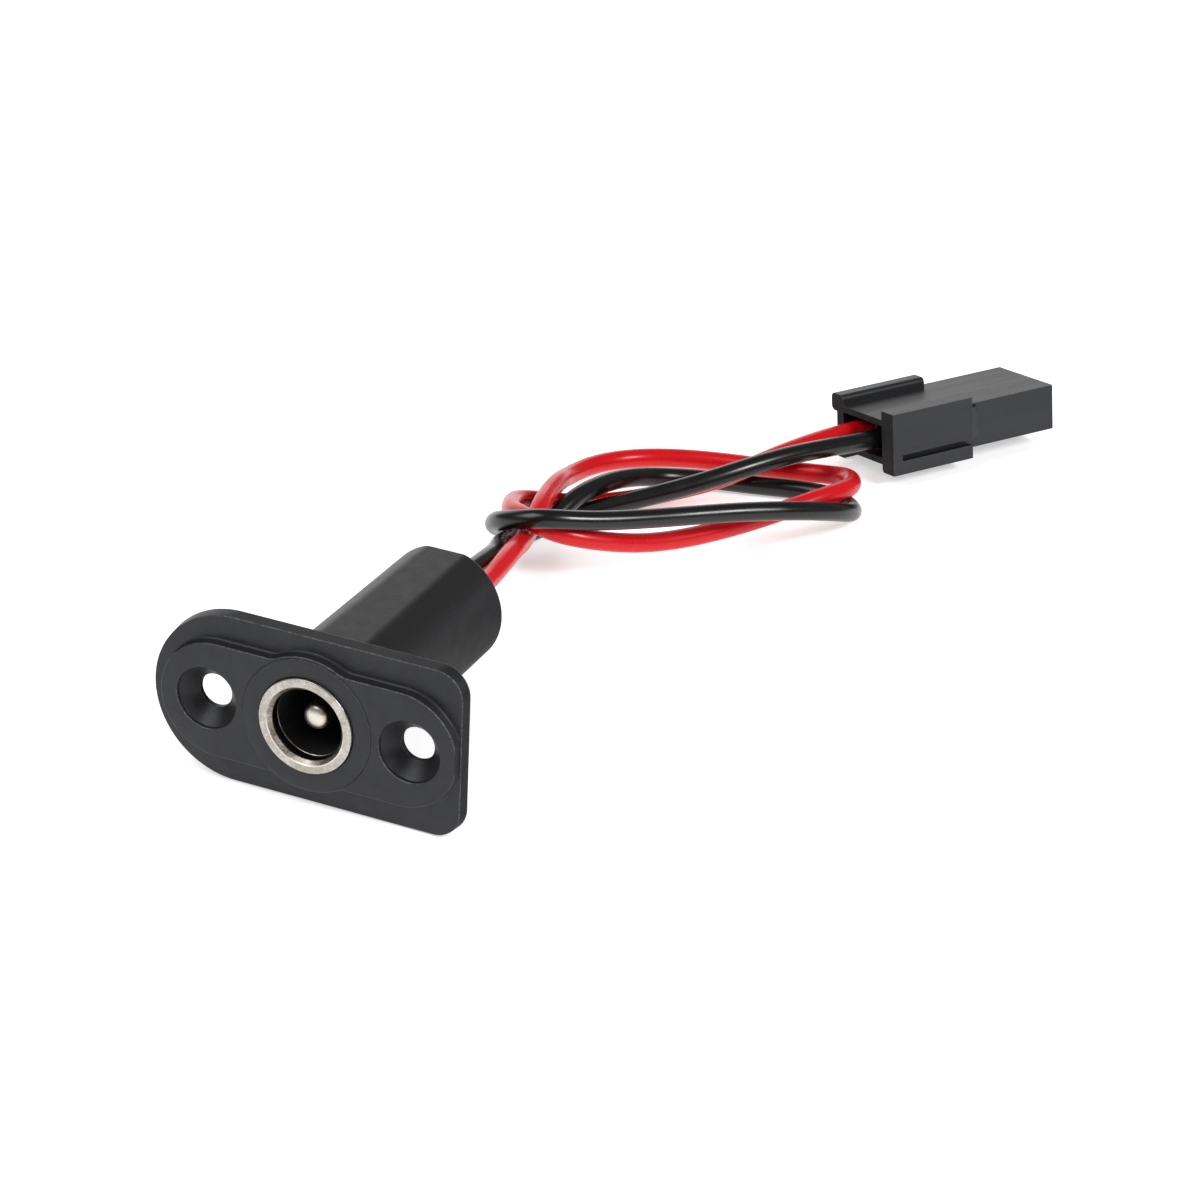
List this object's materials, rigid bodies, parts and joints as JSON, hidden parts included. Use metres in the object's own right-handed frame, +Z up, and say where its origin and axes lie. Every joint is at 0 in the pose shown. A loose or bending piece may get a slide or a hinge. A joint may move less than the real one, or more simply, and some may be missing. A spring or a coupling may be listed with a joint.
{
  "type": "scooter charging port",
  "caption": "Flanged panel-mount charging socket with a round barrel, countersunk screw holes and red and black wire leads that end in a small rectangular connector.",
  "frame": {"origin": "on the jack's axis at the flange's rear seat, midway between the two screw holes", "axes": "+X towards the flange's square end, +Y along the jack's axis towards the barrel's tail, +Z up"},
  "size_m": [0.0424, 0.0969, 0.0144],
  "materials": {
    "housing_plastic": "fine satin moulding",
    "ring_metal": "dull nickel plate with fine wear",
    "socket_plastic": "smooth moulding",
    "pin_metal": "bright nickel plate",
    "spring_metal": "rolled sheet",
    "solder": "dull solder",
    "seal_compound": "cast",
    "red_insulation": "smooth extruded insulation",
    "black_insulation": "smooth extruded insulation",
    "plug_plastic": "satin moulding",
    "contact_metal": "rolled sheet"
  },
  "bodies": {
    "root": {"flange_housing": "housing_plastic", "jack_shell": "ring_metal", "jack_insulator": "socket_plastic", "centre_pin": "pin_metal", "contact_spring": "spring_metal", "red_solder_joint": "solder", "black_solder_joint": "solder", "rear_seal": "seal_compound", "red_wire": "red_insulation", "black_wire": "black_insulation", "plug_housing": "plug_plastic", "red_contact": "contact_metal", "black_contact": "contact_metal"}
  },
  "joints": []
}
